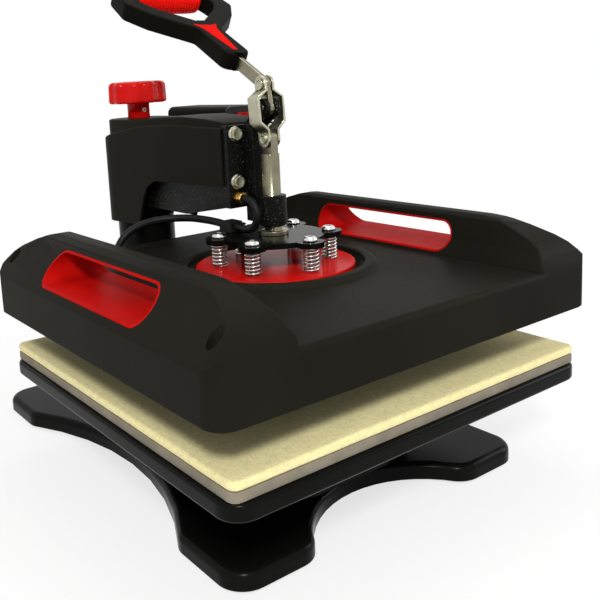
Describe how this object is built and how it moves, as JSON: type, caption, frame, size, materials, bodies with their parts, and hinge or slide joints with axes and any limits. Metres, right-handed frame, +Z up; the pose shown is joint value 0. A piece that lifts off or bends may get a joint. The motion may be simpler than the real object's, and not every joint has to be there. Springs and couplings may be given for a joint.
{
  "type": "swing-away heat press",
  "caption": "Swing-away flat heat press: sprung heated head on a pivoting arm, toggle lever with D-shaped handle, padded square bed and splayed cast base.",
  "frame": {"origin": "on the floor under the middle of the outer box, head raised and arm straight", "axes": "+X to the right, +Y to the rear from the bed to the post, +Z up"},
  "size_m": [0.406, 0.516, 0.4727],
  "materials": {
    "gloss_black": "gloss black paint",
    "black_casting": "black painted cast aluminium",
    "satin_black": "fine-textured satin black moulding",
    "black_plastic": "smooth black moulding",
    "red_plastic": "smooth red moulding",
    "red_paint": "gloss red paint",
    "zinc_steel": "zinc-plated steel",
    "bright_steel": "bright ground steel",
    "chrome_wire": "plated spring wire",
    "platen_alloy": "cast aluminium",
    "bronze": "sintered bronze",
    "brass": "turned brass",
    "rubber": "black rubber",
    "grey_silicone": "grey silicone sponge",
    "cream_felt": "cream wool felt",
    "mica": "mica sheet",
    "wool": "mineral wool",
    "circuit_green": "coated circuit board",
    "dark_lens": "smoked display window",
    "grey_key": "grey key moulding"
  },
  "bodies": {
    "base": {"base_casting": "gloss_black", "rubber_feet": "rubber", "pedestal": "gloss_black", "pedestal_bolts": "zinc_steel", "lower_platen": "black_casting", "platen_bolts": "zinc_steel", "silicone_pad": "grey_silicone", "felt_pad": "cream_felt", "post_column": "gloss_black", "post_bolts": "zinc_steel", "post_bushes": "bronze", "thrust_washer": "bronze"},
    "arm_body": {"pivot_shaft": "bright_steel", "arm_casting": "black_casting", "arm_cover": "satin_black", "front_bracket": "black_casting", "front_bolts": "zinc_steel", "lever_pin": "bright_steel", "cable_gland": "brass", "box_shell": "satin_black", "box_panel": "black_plastic", "display_lens": "dark_lens", "circuit_board": "circuit_green", "box_standoffs": "zinc_steel", "mains_inlet": "black_plastic", "cable_drop": "rubber"},
    "knob_body": {"pressure_knob": "red_plastic", "knob_rod": "bright_steel", "knob_set_screw": "zinc_steel"},
    "nut_body": {"pressure_nut": "zinc_steel"},
    "handle_body": {"lever_bar": "bright_steel", "handle_frame": "black_plastic", "handle_inlay": "red_plastic", "hand_grip": "red_plastic", "crank_pin": "bright_steel"},
    "links_body": {"left_link": "zinc_steel", "right_link": "zinc_steel", "link_rivets": "zinc_steel"},
    "plunger_body": {"plunger": "bright_steel", "spider_plate": "gloss_black", "spider_nut": "zinc_steel", "cable_clip": "rubber", "cable_loop": "rubber"},
    "platen_body": {"pressure_plate": "red_paint", "spring_bolts": "bright_steel", "springs": "chrome_wire", "platen_pillars": "zinc_steel", "heat_platen": "platen_alloy", "heater_sheet": "mica", "insulation": "wool", "thermocouple": "bright_steel", "head_cover": "satin_black", "left_liner": "red_plastic", "right_liner": "red_plastic", "cover_screws": "zinc_steel", "cable_grommet": "rubber"},
    "up_key": {"up_button": "grey_key"},
    "down_key": {"down_button": "grey_key"},
    "set_key": {"set_button": "grey_key"},
    "rocker_body": {"power_rocker": "red_plastic"}
  },
  "joints": [
    {"name": "arm_swing", "type": "hinge", "parent": "base", "child": "arm_body", "pos_m": [0, 0.184, 0.236], "axis": [0, 0, 1], "range_deg": [-120, 120]},
    {"name": "lever_turn", "type": "hinge", "parent": "arm_body", "child": "handle_body", "pos_m": [0, -0.062, 0.343], "axis": [1, 0, 0], "range_deg": [0, 145]},
    {"name": "link_turn", "type": "hinge", "parent": "handle_body", "child": "links_body", "pos_m": [0, -0.05818, 0.36467], "axis": [1, 0, 0], "range_deg": [-122.5, 0]},
    {"name": "head_press", "type": "slide", "parent": "arm_body", "child": "plunger_body", "axis": [0, 0, -1], "range_m": [0, 0.03489], "deforming": ["cable_drop"]},
    {"name": "platen_float", "type": "slide", "parent": "plunger_body", "child": "platen_body", "axis": [0, 0, 1], "range_m": [0, 0.006], "stiffness_N_per_m": 12000, "springref_m": -0.004, "deforming": ["springs"]},
    {"name": "knob_turn", "type": "hinge", "parent": "arm_body", "child": "knob_body", "pos_m": [0, 0.184, 0.36], "axis": [0, 0, 1], "range_deg": [0, 2880]},
    {"name": "nut_rise", "type": "slide", "parent": "arm_body", "child": "nut_body", "axis": [0, 0, 1], "range_m": [0, 0.016]},
    {"name": "up_press", "type": "slide", "parent": "arm_body", "child": "up_key", "axis": [0, 1, 0], "range_m": [0, 0.001], "stiffness_N_per_m": 600},
    {"name": "down_press", "type": "slide", "parent": "arm_body", "child": "down_key", "axis": [0, 1, 0], "range_m": [0, 0.001], "stiffness_N_per_m": 600},
    {"name": "set_press", "type": "slide", "parent": "arm_body", "child": "set_key", "axis": [0, 1, 0], "range_m": [0, 0.001], "stiffness_N_per_m": 600},
    {"name": "rocker_turn", "type": "hinge", "parent": "arm_body", "child": "rocker_body", "pos_m": [0.068, 0.076, 0.329], "axis": [0, 0, 1], "range_deg": [0, 12]}
  ],
  "couplings": [
    {"joint": "link_turn", "follows": "lever_turn", "ratio": -0.84476},
    {"joint": "head_press", "follows": "lever_turn", "m_per_rad": 0.013785},
    {"joint": "nut_rise", "follows": "knob_turn", "m_per_rad": 0.0003183}
  ]
}
